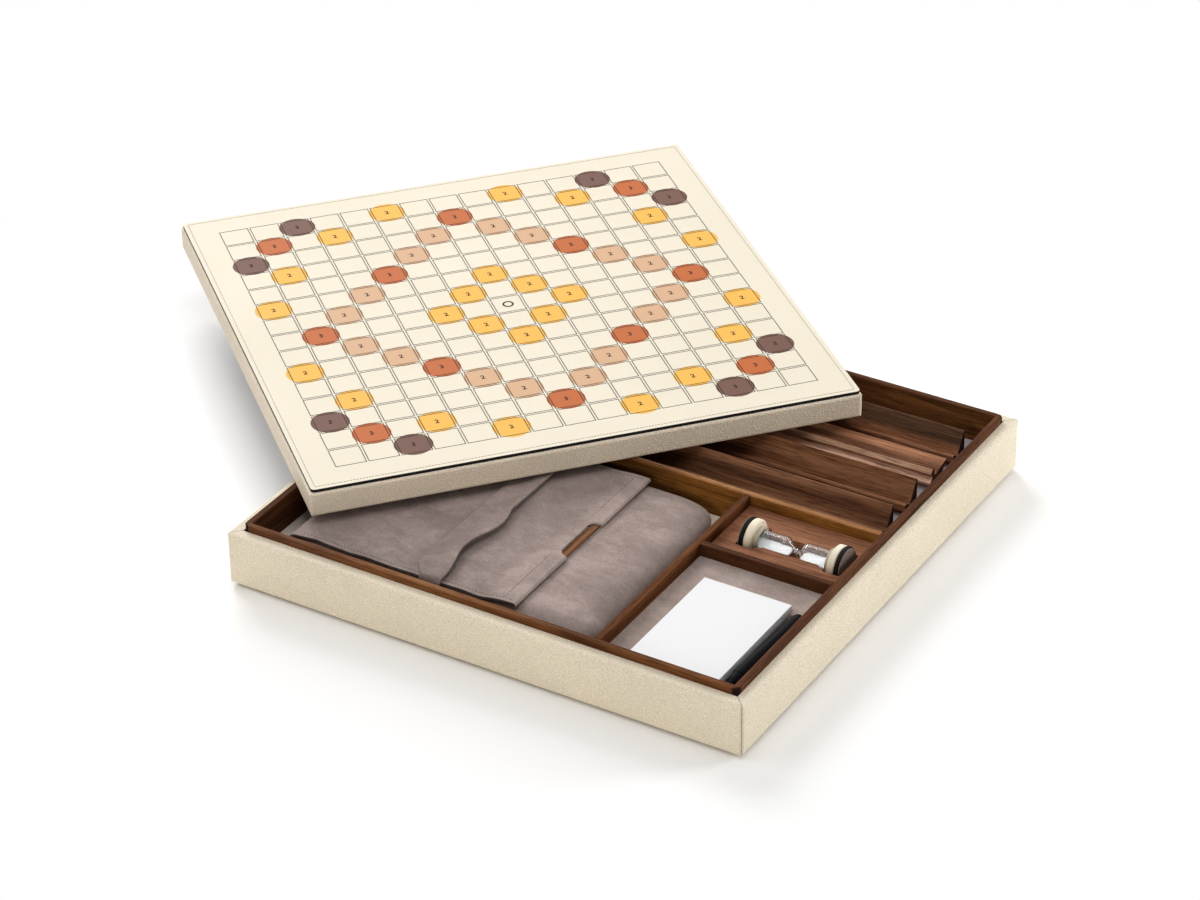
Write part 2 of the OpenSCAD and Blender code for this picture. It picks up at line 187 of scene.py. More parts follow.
def leather(name, colour, pebble, depth, seams=False):
    """Full-grain leather: soft rounded pebbles with shallow creases between them, and a slow drift of tone.
    The seams are the mitred turn-ins at the base's corners."""
    f = Finish(name, Specular_IOR_Level=0.13)
    at = f.object_coords()
    swirl = f.node("TexNoise", {"Vector": at, "Scale": 260.0, "Detail": 2.0}).outputs["Color"]
    shift = f.vector_math("MULTIPLY", swirl, (WANDER * MM,) * 3).outputs[0]
    wander = f.vector_math("ADD", at, shift).outputs[0]
    pebbles = f.span(f.creases(wander, pebble), 0.0, 0.42)
    patches = f.noise(at, 1 / (3.2 * MM), 2.0)
    drift = f.noise(at, 14.0, 3.0)
    tone = f.mix(f.span(drift, 0.35, 0.65), scaled(colour, 0.94), colour)
    tone = f.mix(f.span(pebbles, 0.0, 0.6), f.times(tone, CREASE_SHADE), tone)
    height = f.math("MULTIPLY_ADD", patches, 0.8, pebbles)
    if seams:
        x, y = f.split(at)[:2]
        off = f.math("ABSOLUTE", f.math("SUBTRACT", f.math("ABSOLUTE", x), f.math("ABSOLUTE", y)))
        line = f.math("SUBTRACT", 1.0, f.span(off, 0.00012, 0.0006))
        height = f.math("MULTIPLY_ADD", line, -2.5, height)
        tone = f.mix(f.math("MULTIPLY", line, 0.35), tone, scaled(colour, 0.45))
    return f.colour(tone).surface(f.bump(height, depth)).rough(f.span(pebbles, -2.4, 2.2)).material


def suede(name, colour, light, marble=1.0, shade=None):
    """Napped suede: soft brushed clouds of a warmer, paler tone over a short speckled nap. Its shade is
    painted
    shade of the lid: two places along X in metres, between which it clears, and the factor left of them."""
    f = Finish(name, Roughness=0.92, Specular_IOR_Level=0.04, Sheen_Weight=0.12, Sheen_Roughness=0.5,
               Sheen_Tint=rgba(light))
    at = f.object_coords()
    cloud = f.noise(at, 24.0, 3.0, 0.5, 0.6)
    brushed = f.noise(f.stretched((70.0, 120.0, 80.0)), 1.0, 5.0, 0.65, 0.9)
    nap = f.noise(at, 1 / (1.7 * MM), 4.0, 0.8)
    lift = f.math("ADD", f.math("MULTIPLY", cloud, 0.6), f.math("MULTIPLY", brushed, 0.4))
    tone = f.ramp(lift, [(0.37, scaled(colour, 1 - 0.2 * marble)), (0.5, colour), (0.62, light)])
    tone = f.mix(f.span(nap, 0.36, 0.64), f.times(tone, NAP_SHADE), tone)
    if shade is not None:
        low, high, factor = shade
        tone = f.mix(f.span(f.split(at)[0], low, high), f.times(tone, (factor,) * 3), tone)
    height = f.math("MULTIPLY_ADD", cloud, 2.0, nap)
    return f.colour(tone).surface(f.bump(height, 0.3)).material


def walnut(name, along, tones, seed, streak=1.0, zones=()):
    """Oiled walnut with its grain along X or Y: slow figure, fine streaks, open pores and dark end grain.
    Each zone tints the wood where a part of its normal or place runs from low to high."""
    f = Finish(name, Specular_IOR_Level=0.03)
    long_ = "xy".index(along)

    def grain(length, width):
        scale = [1 / (width * MM)] * 3
        scale[long_] = 1 / (length * MM)
        return f.stretched(tuple(scale), (seed * 3.1, seed * 7.7, seed * 1.3))

    figure = f.noise(grain(190, 13), 1.0, 4.0, 0.55, 0.8)
    streaks = f.noise(grain(60, 1.4), 1.0, 3.0, 0.65, 0.3)
    pores = f.noise(grain(14, 0.6), 1.0, 2.0, 0.6)
    blend = f.math("ADD", f.math("MULTIPLY", figure, 0.62), f.math("MULTIPLY", streaks, 0.38 * streak))
    dark, middle, light = tones
    tone = f.ramp(blend, [(0.36, dark), (0.50, middle), (0.64, light)])
    pore = f.span(pores, 0.36, 0.46)
    tone = f.mix(pore, f.times(tone, PORE_SHADE), tone)
    for source, axis, low, high, factor in zones:
        part = f.split(f.object_normal() if source == "normal" else f.object_coords())[axis]
        tone = f.mix(f.span(part, low, high), tone, f.times(tone, factor))
    facing = f.math("ABSOLUTE", f.split(f.object_normal())[long_])
    tone = f.mix(f.span(facing, 0.6, 0.9), tone, scaled(dark, 0.7))
    height = f.math("MULTIPLY_ADD", streaks, 0.5, pore)
    return f.colour(tone).surface(f.bump(height, 0.07)).rough(f.span(streaks, -1.12, 1.9)).material


def smooth_finish(name, colour, roughness, speck=0.6, depth=0.03, **sockets):
    """A plain moulded, painted or lacquered surface with a faint mottle, so that it isn't dead flat"""
    f = Finish(name, **sockets)
    at = f.object_coords()
    mottle = f.noise(at, 1 / (speck * MM), 3.0)
    broad = f.noise(at, 60.0, 2.0)
    tone = f.mix(f.math("MULTIPLY", mottle, broad), colour, scaled(colour, 0.86))
    rough = f.math("MULTIPLY_ADD", mottle, 0.12, roughness - 0.06)
    return f.colour(tone).surface(f.bump(mottle, depth)).rough(rough).material


def turned_cap(name, colour, middle, reach):
    """Lacquered cap, greyer on the stepped collar that it turns to the glass: painted shade"""
    f = Finish(name, Specular_IOR_Level=0.4)
    mottle = f.noise(f.object_coords(), 1 / (0.6 * MM), 3.0)
    off = f.math("ABSOLUTE", f.math("SUBTRACT", f.split(f.object_coords())[0], middle))
    # Painted shade: the collar is greyer
    tone = f.mix(f.span(off, reach - 0.0003, reach), f.times(colour, COLLAR_PAINTED_SHADE), colour)
    tone = f.mix(f.span(mottle, 0.3, 0.7), f.times(tone, (0.9, 0.895, 0.89)), tone)
    rough = f.math("MULTIPLY_ADD", mottle, 0.12, 0.42)
    return f.colour(tone).surface(f.bump(mottle, 0.05)).rough(rough).material


def board_surface(name, colour, edge):
    """The mat's fine-grained printed leather, with its cut edge painted"""
    f = Finish(name, Specular_IOR_Level=0.12)
    at = f.object_coords()
    grain = f.creases(at, 0.9)
    drift = f.noise(at, 9.0, 2.0)
    tone = f.mix(f.span(drift, 0.3, 0.7), colour, scaled(colour, 0.955))
    tone = f.mix(f.span(grain, 0.0, 0.12), scaled(colour, 0.9), tone)
    up = f.span(f.split(f.object_normal())[2], 0.5, 0.7)
    bump = f.bump(f.span(grain, 0, 0.3), 0.05, 0.7)
    rough = f.math("MULTIPLY_ADD", drift, 0.1, 0.52)
    return f.colour(f.mix(up, edge, tone)).surface(bump).rough(rough).material


def disc_print(name, colour):
    """Ink of a printed disc, which is a little duller where it spreads past its cell"""
    f = Finish(name, Specular_IOR_Level=0.12)
    lid = f.node("Mapping", {"Vector": f.object_coords(), "Location": tuple(LID_FRAME.translation),
                             "Rotation": (0, 0, LID_TURN), "Scale": (CELL * MM,) * 3}, vector_type="TEXTURE")
    from_middle = [f.math("ABSOLUTE", f.math("SUBTRACT", f.math("FRACT", f.math("ADD", a, 100.5)), 0.5))
                   for a in f.split(lid.outputs["Vector"])[:2]]
    outside = f.math("GREATER_THAN", f.math("MAXIMUM", *from_middle), CELL_LINE / CELL / 2)
    grain = f.noise(f.object_coords(), 1 / (0.6 * MM), 2.0)
    tone = f.mix(outside, colour, scaled(colour, 0.90))
    tone = f.mix(f.span(grain, 0.3, 0.8), tone, f.times(tone, (0.93,) * 3))
    rough = f.math("MULTIPLY_ADD", grain, 0.1, 0.5)
    return f.colour(tone).surface(f.bump(grain, 0.02)).rough(rough).material


def clear_glass(name):
    f = Finish(name, IOR=1.47, Transmission_Weight=1.0, Specular_IOR_Level=0.6)
    smear = f.noise(f.object_coords(), 90.0, 2.0)
    return f.colour((0.97, 0.985, 0.985)).rough(f.math("MULTIPLY", smear, 0.03)).material


def metal(name, colour):
    f = Finish(name, Metallic=1.0)
    brushed = f.noise(f.stretched((4000.0, 200.0, 4000.0)), 1.0, 2.0)
    return f.colour(colour).rough(f.math("MULTIPLY_ADD", brushed, 0.15, 0.2)).material


def fibreboard(name, colour):
    f = Finish(name, Roughness=0.9, Specular_IOR_Level=0.2)
    flecks = f.noise(f.stretched((500.0, 700.0, 900.0)), 1.0, 4.0, 0.7)
    tone = f.ramp(flecks, [(0.3, scaled(colour, 0.7)), (0.7, scaled(colour, 1.15))])
    return f.colour(tone).surface(f.bump(flecks, 0.1)).material


def paper_edges(name, colour):
    """White sheets: bright on top, with the faint grey lines of a stack on the sides"""
    f = Finish(name, Roughness=0.8, Specular_IOR_Level=0.25)
    fibre = f.noise(f.object_coords(), 1 / (0.5 * MM), 4.0)
    up = f.span(f.split(f.object_normal())[2], 0.5, 0.8)
    layers = f.noise(f.stretched((30.0, 30.0, 9000.0)), 1.0, 2.0)
    side = f.mix(f.span(layers, 0.35, 0.65), scaled(colour, 0.9), colour)
    top = f.mix(fibre, colour, scaled(colour, 0.97))
    return f.colour(f.mix(up, side, top)).surface(f.bump(fibre, 0.02)).material


CREAM = (0.88, 0.785, 0.62)
LID_CREAM = (0.88, 0.77, 0.62)
SUEDE = (0.355, 0.281, 0.252)
SUEDE_LIGHT = (0.450, 0.357, 0.322)
BLACK = (0.012, 0.011, 0.011)

base_cream = leather("cream_leather", CREAM, 1.7, 0.24, seams=True)
lid_cream = leather("lid_leather", LID_CREAM, 1.7, 0.38)
floor_cream = leather("floor_leather", (0.83, 0.75, 0.62), 1.2, 0.08)
board_cream = board_surface("board_leather", (0.80, 0.73, 0.595), BLACK)
edge_black = smooth_finish("edge_paint", BLACK, 0.5, Specular_IOR_Level=0.1)
# The pouch's suede carries painted shade towards its left end, where the lid above shades it
pouch_suede = suede("pouch_suede", SUEDE, SUEDE_LIGHT, shade=(-0.06, 0.05, 0.85))
suede_edge = suede("suede_edge", scaled(SUEDE, 0.16), scaled(SUEDE_LIGHT, 0.2))
strap_edge = suede("strap_edge", scaled(SUEDE, 0.5), scaled(SUEDE_LIGHT, 0.5))
bed_suede = suede("bed_suede", (0.41, 0.322, 0.285), (0.50, 0.405, 0.365), 0.8)
grey_suede = suede("grey_suede", (0.42, 0.40, 0.42), (0.50, 0.48, 0.49), 0.5)
thread = smooth_finish("thread", (0.10, 0.082, 0.075), 0.8, 0.3, 0.1)
board_thread = smooth_finish("board_thread", (0.17, 0.145, 0.11), 0.8, 0.3, 0.1)
line_ink = smooth_finish("line_ink", (0.030, 0.026, 0.022), 0.7, Specular_IOR_Level=0.05)
mark_ink = smooth_finish("mark_ink", (0.030, 0.024, 0.022), 0.7, Specular_IOR_Level=0.05)


def painted_top_light(factor):
    """Zone of the faces that look up, for painted light on the tops: a factor above 1 paints them lighter,
    below 1 paints shade
    """
    return ("normal", 2, 0.6, 0.8, factor)


# Each board's walnut: its dark, middle and light tone
FRAME_TONES = ((0.035, 0.012, 0.0048), (0.092, 0.034, 0.0140), (0.158, 0.066, 0.031))
# The back board's tones are lighter and more orange than the frame's: painted light on its inner face
BACK_TONES = ((0.070, 0.026, 0.008), (0.185, 0.072, 0.023), (0.310, 0.132, 0.046))
FRONT_DIVIDER_TONES = ((0.036, 0.011, 0.003), (0.090, 0.030, 0.009), (0.150, 0.057, 0.020))
CROSS_TONES = tuple(scaled(tone, 0.85) for tone in FRAME_TONES)
# The long divider's tones are lighter and more amber than the frame's: partly its own wood, partly painted
# warm bounced light
LONG_DIVIDER_TONES = ((0.100, 0.036, 0.006), (0.235, 0.093, 0.019), (0.35, 0.162, 0.044))
CRADLE_TONES = ((0.10, 0.038, 0.019), (0.215, 0.088, 0.045), (0.33, 0.148, 0.080))
SLAT_TONES = ((0.10, 0.045, 0.02), (0.22, 0.10, 0.045), (0.30, 0.15, 0.07))
SPLINE_TONES = ((0.012, 0.007, 0.005), (0.022, 0.012, 0.009), (0.035, 0.02, 0.014))

# The front board is darker at its left end, and the long divider on the left, where it lies under the lid:
# painted shade of the lid
frame_x = walnut("walnut_frame_x", "x", FRAME_TONES, 1.0,
                 zones=[("place", 0, -0.13, -0.08, (1.55, 1.6, 1.35))])
frame_y = walnut("walnut_frame_y", "y", FRAME_TONES, 2.3)
# The back board's top carries painted shade that keeps it darker than its lit inner face
back_wood = walnut("walnut_frame_back", "x", BACK_TONES, 7.4, zones=[painted_top_light((0.55, 0.55, 0.7))])
# The front divider's top carries painted light
front_div_wood = walnut("walnut_front_divider", "y", FRONT_DIVIDER_TONES, 2.9,
                        zones=[painted_top_light((1.15, 1.15, 1.2))])
cross_wood = walnut("walnut_cross", "x", CROSS_TONES, 8.8)
# The long divider's top carries painted light, and its left part painted shade of the lid
divider_x = walnut("walnut_divider_x", "x", LONG_DIVIDER_TONES, 3.1,
                   zones=[painted_top_light((1.1, 1.2, 2.0)), ("place", 0, 0.045, 0.005, (0.5, 0.5, 0.6))])
cradle_wood = walnut("walnut_cradle", "x", CRADLE_TONES, 4.7, streak=1.4)
slat_wood = walnut("walnut_slat", "y", SLAT_TONES, 5.9)
spline_wood = walnut("walnut_end", "x", SPLINE_TONES, 6.1)
RACK_TONES = [
    ((0.058, 0.023, 0.012), (0.165, 0.071, 0.035), (0.295, 0.143, 0.077)),
    ((0.058, 0.023, 0.009), (0.158, 0.065, 0.029), (0.279, 0.128, 0.063)),
    ((0.150, 0.062, 0.032), (0.340, 0.150, 0.078), (0.520, 0.250, 0.140)),
    ((0.031, 0.014, 0.008), (0.075, 0.036, 0.021), (0.128, 0.066, 0.042)),
]
# The tipped rack's face darkens towards its ledge. Its ledge's front is painted lighter and greyer, and its
# lower part lighter still: painted light where the rack in front shades them
TIPPED_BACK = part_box("rack_3")[1].y
TIPPED_ZONES = [("place", 1, TIPPED_BACK - 0.0068, TIPPED_BACK - 0.0085, (0.50, 0.47, 0.46)),
                ("normal", 1, -0.45, -0.6, (3.2, 4.5, 5.6)),
                ("place", 2, 0.0335, 0.0315, (1.8, 1.9, 2.1))]
# The last rack is browner and lighter towards its foot
LAST_ZONES = [("place", 2, 0.0365, 0.0325, (3.2, 2.9, 2.4))]
RACK_ZONES = [(), (), TIPPED_ZONES, LAST_ZONES]
rack_wood = [walnut(f"walnut_rack_{k + 1}", "x", tones, 11.0 + 5.3 * k, streak=1.15, zones=zones)
             for k, (tones, zones) in enumerate(zip(RACK_TONES, RACK_ZONES))]
# The timer's neck, and how far from it the caps' collars end
TIMER_MIDDLE = sum(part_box("timer_glass")[k].x for k in (0, 1)) / 2
COLLAR_FROM = 0.0289
cap_cream = turned_cap("cap_cream", (0.84, 0.75, 0.58), TIMER_MIDDLE, COLLAR_FROM)
cap_black = smooth_finish("cap_black", (0.010, 0.008, 0.007), 0.6, Specular_IOR_Level=0.05)
disc_leather = leather("end_leather", (0.22, 0.175, 0.15), 1.0, 0.1)
white_sand = smooth_finish("white_sand", (0.93, 0.93, 0.92), 0.9, 0.25, 0.12)
paper = paper_edges("paper", (0.80, 0.80, 0.81))
card = smooth_finish("card", (0.50, 0.48, 0.52), 0.85)
pen_black = smooth_finish("pen_black", (0.007, 0.007, 0.009), 0.5, 0.5, 0.02, Specular_IOR_Level=0.025)
pen_metal = metal("pen_metal", (0.72, 0.72, 0.74))
tile_lacquer = smooth_finish("tile_lacquer", (0.80, 0.74, 0.60), 0.35)
glass = clear_glass("clear_glass")
board_fibre = fibreboard("fibreboard", (0.36, 0.24, 0.13))

NODE_FINISH = {
    "underside_pad": grey_suede, "base_bottom_board": board_fibre, "base_walls": board_fibre,
    "base_leather": base_cream, "frame_front": frame_x, "frame_back": back_wood, "frame_left": frame_y,
    "frame_right": frame_y, "corner_splines": spline_wood, "long_divider": divider_x,
    "front_divider": front_div_wood, "cross_divider": cross_wood, "rack_bay_floor": grey_suede,
    "pouch_bay_floor": floor_cream, "notepad_platform": bed_suede, "timer_cradle": cradle_wood,
    "lid_rails": board_fibre, "lid_panel": board_fibre, "lid_leather": lid_cream, "lid_lining": grey_suede,
    "mat_core": edge_black, "board_mat": board_cream, "rack_1": rack_wood[0], "rack_2": rack_wood[1],
    "rack_3": rack_wood[2], "rack_4": rack_wood[3], "pouch_back": pouch_suede, "pouch_front": pouch_suede,
    "pouch_flap": pouch_suede, "pouch_strap": pouch_suede, "closure_slat": slat_wood,
    "letter_tiles": tile_lacquer, "timer_glass": glass, "timer_sand": white_sand, "timer_cap_left": cap_cream,
    "timer_cap_right": cap_cream, "timer_bands": cap_black, "timer_end_discs": disc_leather,
    "notepad_sheets": paper, "notepad_card": card, "pen_barrel": pen_black, "pen_nose": pen_black,
    "pen_refill": pen_metal, "pen_end_cap": pen_black,
}


def finish_nodes():
    for name, material in NODE_FINISH.items():
        data = nodes[name].data
        data.materials.clear()
        data.materials.append(material)


# Building pieces, in millimetres


def add_piece(name, points, faces, material, body, smooth=True, place=None):
    mesh = bpy.data.meshes.new(name)
    mesh.from_pydata([Vector(p) * MM for p in points], [], faces)
    if place is not None:
        mesh.transform(place)
    mesh.update()
    mesh.materials.append(material)
    if smooth:
        mesh.shade_smooth()
    piece = bpy.data.objects.new(name, mesh)
    bpy.context.scene.collection.objects.link(piece)
    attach(piece, body)
    return piece


def circle(radius, z, sides, x=0.0, y=0.0):
    turns = [2 * math.pi * k / sides for k in range(sides)]
    return [(x + radius * math.cos(turn), y + radius * math.sin(turn), z) for turn in turns]


def grid_faces(rows, columns, start=0, closed=False):
    """Quads of a grid whose columns run on from each other, seen from above"""
    faces = []
    for i in range(rows - 1):
        for j in range(columns if closed else columns - 1):
            a, b = i * columns + j, i * columns + (j + 1) % columns
            faces.append((start + a, start + b, start + b + columns, start + a + columns))
    return faces


def thick_sheet(rows, thick):
    """Points and faces of a closed sheet, from rows of points on its upper side"""
    count, across = len(rows), len(rows[0])
    upper = [p for row in rows for p in row]
    lower = []
    for i in range(count):
        for j in range(across):
            along_row = rows[i][min(j + 1, across - 1)] - rows[i][max(j - 1, 0)]
            along_column = rows[min(i + 1, count - 1)][j] - rows[max(i - 1, 0)][j]
            lower.append(rows[i][j] - along_row.cross(along_column).normalized() * thick)
    total = len(upper)
    faces = grid_faces(count, across)
    faces += [tuple(total + k for k in reversed(face)) for face in faces]
    ring = list(range(across))
    ring += [i * across + across - 1 for i in range(1, count)]
    ring += [(count - 1) * across + j for j in range(across - 2, -1, -1)]
    ring += [i * across for i in range(count - 2, 0, -1)]
    faces += [(b, a, a + total, b + total) for a, b in zip(ring, ring[1:] + ring[:1])]
    return upper + lower, faces


def cut_edges(piece, faces, rim, material):
    """Gives the last faces of a sheet, its cut rim, their own finish"""
    piece.data.materials.append(material)
    for polygon in piece.data.polygons[len(faces) - rim:]:
        polygon.material_index = 1


def round_edges(piece, width):
    bevel = piece.modifiers.new("edges", "BEVEL")
    bevel.width = width * MM
    bevel.segments = 2
    bevel.limit_method = "ANGLE"
    bevel.angle_limit = math.radians(50)


def walk(path, pitch):
    """Points every pitch along a path of points, each with its direction"""
    found, left = [], pitch / 2
    for a, b in zip(path, path[1:]):
        length = (b - a).length
        if length < 1e-6:
            continue
        while left <= length:
            found.append((a + (b - a) * (left / length), (b - a) / length))
            left += pitch
        left -= length
    return found


# Along a stitch, as shares of its length, rise and radius: it dives into the surface at both ends
STITCH_RINGS = ((-0.5, -0.5, 0.35), (-0.28, 0.6, 1.0), (0.28, 0.6, 1.0), (0.5, -0.5, 0.35))
STITCH_RISE = 0.1
STITCH_SIDES = 5
# Pitch, length and radius of a stitch
BOARD_STITCH = (2.2, 1.7, 0.2)
POUCH_STITCH = (2.7, 1.7, 0.22)


def stitches(name, paths, size, material, body, place=None):
    """Rows of short arched stitches along paths of points that lie on a surface"""
    pitch, length, radius = size
    points, faces, sides = [], [], STITCH_SIDES
    for path in paths:
        for middle, along in walk(path, pitch):
            side = along.cross(Vector((0, 0, 1))).normalized()
            up = side.cross(along)
            for at, lift, size in STITCH_RINGS:
                centre = middle + along * (at * length) + up * (STITCH_RISE * lift)
                for k in range(sides):
                    turn = 2 * math.pi * k / sides
                    points.append(centre + (side * math.cos(turn) + up * math.sin(turn)) * radius * size)
            start = len(points) - 4 * sides
            faces += grid_faces(4, sides, start, closed=True)
            faces.append(tuple(start + k for k in range(sides - 1, -1, -1)))
            faces.append(tuple(start + 3 * sides + k for k in range(sides)))
    add_piece(name, points, faces, material, body, place=place)


def lifted(value, low, high):
    """Smooth step from 0 at low to 1 at high"""
    t = min(max((value - low) / (high - low), 0.0), 1.0)
    return t * t * (3 - 2 * t)


# Playing board

# Each kind of disc: its ink, its figure, and one cell of each group of mirrored cells that carries it
DISCS = {
    "dark": ((0.150, 0.072, 0.052), "3", [(5, 7)]),
    "tan": ((0.63, 0.395, 0.24), "2", [(1, 5), (2, 4)]),
    "rust": ((0.49, 0.125, 0.030), "3", [(3, 3), (0, 6), (6, 6)]),
    "yellow": ((0.83, 0.455, 0.082), "2", [(2, 7), (4, 6), (0, 2), (1, 1)]),
}
INK_T = 0.03
FIGURE_SIZE = 6.4
FIGURE_STROKE = 0.12
# The starting cell's ring, and the row of thread's distance from the mat's edge and rounding at its corners
RING_OUT, RING_IN = 4.2, 2.9
SEAM_INSET, SEAM_CORNER = 3.4, 1.2


def mirrored(a, b):
    """The cells that the square's own symmetry makes of one cell"""
    return sorted({(sx * p, sy * q) for p, q in ((a, b), (b, a)) for sx in (-1, 1) for sy in (-1, 1)})


def board_grid():
    points, faces = [], []
    outer, inner = CELL_LINE / 2, CELL_LINE / 2 - LINE_W
    top, low = BOARD_TOP + 3 * INK_T, BOARD_TOP - INK_T
    for i in range(-HALF_CELLS, HALF_CELLS + 1):
        for j in range(-HALF_CELLS, HALF_CELLS + 1):
            start = len(points)
            for half, z in ((outer, low), (outer, top), (inner, top), (inner, low)):
                points += [(i * CELL + sx * half, j * CELL + sy * half, z)
                           for sx, sy in ((-1, -1), (1, -1), (1, 1), (-1, 1))]
            faces += grid_faces(4, 4, start, closed=True)
            faces += [(start + 12 + k, start + 12 + (k + 1) % 4, start + (k + 1) % 4, start + k)
                      for k in range(4)]
    add_piece("board_grid", points, faces, line_ink, "lid", smooth=False, place=LID_FRAME)


def board_discs():
    sides = DISC_SIDES
    for name, (colour, mark, orbits) in DISCS.items():
        points, faces, cells = [], [], [c for orbit in orbits for c in mirrored(*orbit)]
        for i, j in cells:
            start = len(points)
            for z in (BOARD_TOP - INK_T, BOARD_TOP + INK_T):
                points += circle(DISC_R, z, sides, i * CELL, j * CELL)
            faces += grid_faces(2, sides, start, closed=True)
            faces.append(tuple(start + k for k in range(sides - 1, -1, -1)))
            faces.append(tuple(start + sides + k for k in range(sides)))
        add_piece(f"board_discs_{name}", points, faces, disc_print(f"ink_{name}", colour), "lid",
                  smooth=False, place=LID_FRAME)
        board_numbers(f"board_numbers_{name}", mark, cells)


def board_numbers(name, mark, cells):
    """A plain figure in the middle of each disc, all in one mesh"""
    curve = bpy.data.curves.new(name, "FONT")
    curve.body = mark
    curve.size = FIGURE_SIZE * MM
    curve.align_x = "CENTER"
    curve.align_y = "CENTER"
    curve.extrude = INK_T * MM
    curve.offset = FIGURE_STROKE * MM
    letter = bpy.data.objects.new(name + "_source", curve)
    bpy.context.scene.collection.objects.link(letter)
    bpy.context.view_layer.update()
    shape = bpy.data.meshes.new_from_object(letter.evaluated_get(bpy.context.evaluated_depsgraph_get()))
    bpy.data.objects.remove(letter)
    outline = [v.co / MM for v in shape.vertices]
    polygons = [tuple(p.vertices) for p in shape.polygons]
    points, faces = [], []
    for i, j in cells:
        start = len(points)
        points += [p + Vector((i * CELL, j * CELL, BOARD_TOP + 2.5 * INK_T)) for p in outline]
        faces += [tuple(start + k for k in polygon) for polygon in polygons]
    add_piece(name, points, faces, mark_ink, "lid", smooth=False, place=LID_FRAME)


def centre_mark():
    """A plain ring on the starting cell"""
    points, faces, sides = [], [], 32
    low, top = BOARD_TOP - INK_T, BOARD_TOP + 3 * INK_T
    for radius, z in ((RING_OUT, low), (RING_OUT, top), (RING_IN, top), (RING_IN, low)):
        points += circle(radius, z, sides)
    faces += grid_faces(4, sides, closed=True)
    faces += [(3 * sides + k, 3 * sides + (k + 1) % sides, (k + 1) % sides, k) for k in range(sides)]
    add_piece("board_start_ring", points, faces, mark_ink, "lid", smooth=False, place=LID_FRAME)


def board_stitching():
    """One row of thread round the mat, just inside its edge"""
    middle = MAT_HALF - SEAM_INSET - SEAM_CORNER
    path = []
    for quarter in range(4):
        turn = Matrix.Rotation(math.pi / 2 * quarter, 3, "Z")
        for a in range(-90, 1, 15):
            t = math.radians(a)
            bend = Vector((math.cos(t), math.sin(t), 0)) * SEAM_CORNER
            path.append(turn @ (Vector((middle, -middle, 0)) + bend))
    path.append(path[0])
    path = [p + Vector((0, 0, BOARD_TOP)) for p in path]
    stitches("board_stitching", [path], BOARD_STITCH, board_thread, "lid", LID_FRAME)


# Pouch

POUCH_LOW, POUCH_HIGH = box_mm("pouch_back")[0], box_mm("pouch_front")[1]
POUCH_T = POUCH_HIGH.z - POUCH_LOW.z
POUCH_Z = (POUCH_HIGH.z + POUCH_LOW.z) / 2
# The round fold at the left end, and the wide one on the right: its place on top and how far it leans to the
# front, its reach above and below its middle, and its rounding towards the pouch's front and back ends
FOLD_R = POUCH_T / 2
FOLD_TOP_X = 68.0
FOLD_LEAN = 6.0
FOLD_REACH = 27.0
FOLD_FOOT = 9.0
FOLD_MIDDLE_Z = POUCH_LOW.z + 5.6
CORNER_R = 17.0
END_BACK, END_FRONT = 9.0, 17.0
END_T = 2.0
SECTION_ARC, SECTION_LINE = 16, 64
BODY_STEPS = 88

# The flap: its thickness, height, hem over the slat, notch for the slat, droop at the front and turned edge
FLAP_X = box_mm("pouch_flap")[1].x
FLAP_T = 1.7
FLAP_Z = POUCH_HIGH.z + FLAP_T + 0.3
FLAP_FRONT, FLAP_BACK = POUCH_LOW.y + 2, POUCH_HIGH.y - 2
FLAP_STEP = 1.5
HEM_Z = box_mm("closure_slat")[1].z + FLAP_T + 0.15
HEM_W = 16.0
HEM_ROW_X = 4.0
NOTCH_Y, NOTCH_HALF, NOTCH_R = -86.0, 16.0, 7.0
DROOP, DROOP_W = 1.5, 16.0
EDGE_PAST = 0.6
EDGE_TURN = 1.7
EDGE_DROP = 2.3
ROUND_STEPS, FLAT_STEPS, EDGE_STEPS = 12, 66, 6
SEAM_IN = 3.2

# The strap: its thickness, ceiling, left and right edge, wave, and bend over the pouch's front edge
STRAP_T = 1.9
STRAP_LIMIT = 46.6
STRAP_LEFT, STRAP_RIGHT = -69.0, -47.5
STRAP_FOOT, STRAP_FOOT_END = 8.5, 0.085
STRAP_WAVE, STRAP_WAVE_END = 3.8, 0.52
STRAP_CURL = 4.2
STRAP_BEND = 4.5
STRAP_ALONG, STRAP_ACROSS = 96, 22


def ripple(x, y, size, seed):
    """Slow unevenness, between about -1 and 1"""
    return noise.noise(Vector((x / size, y / size, seed))) * 1.6


def pouch_section(left, right, low, high):
    """Points round one slice of the pouch, anticlockwise from the foot of its wide right fold"""
    arc, line = SECTION_ARC, SECTION_LINE
    middle = low + (high - low) * (FOLD_MIDDLE_Z - POUCH_LOW.z) / POUCH_T
    ring = []
    for k in range(arc + 1):
        a = math.pi / 2 * (k / arc - 1)
        ring.append((right + FOLD_FOOT * (math.cos(a) - 1), middle + (middle - low) * math.sin(a)))
    for k in range(1, arc + 1):
        a = math.pi / 2 * k / arc
        ring.append((right + FOLD_REACH * (math.cos(a) - 1), middle + (high - middle) * math.sin(a)))
    start, end = right - FOLD_REACH, left + FOLD_R
    ring += [(start + (end - start) * k / line, high) for k in range(1, line)]
    for k in range(arc + 1):
        a = math.pi / 2 + math.pi * k / arc
        ring.append((left + FOLD_R * (1 + math.cos(a)), (low + high) / 2 + (high - low) / 2 * math.sin(a)))
    ring += [(end + (right - FOLD_FOOT - end) * k / line, low) for k in range(1, line)]
    return ring


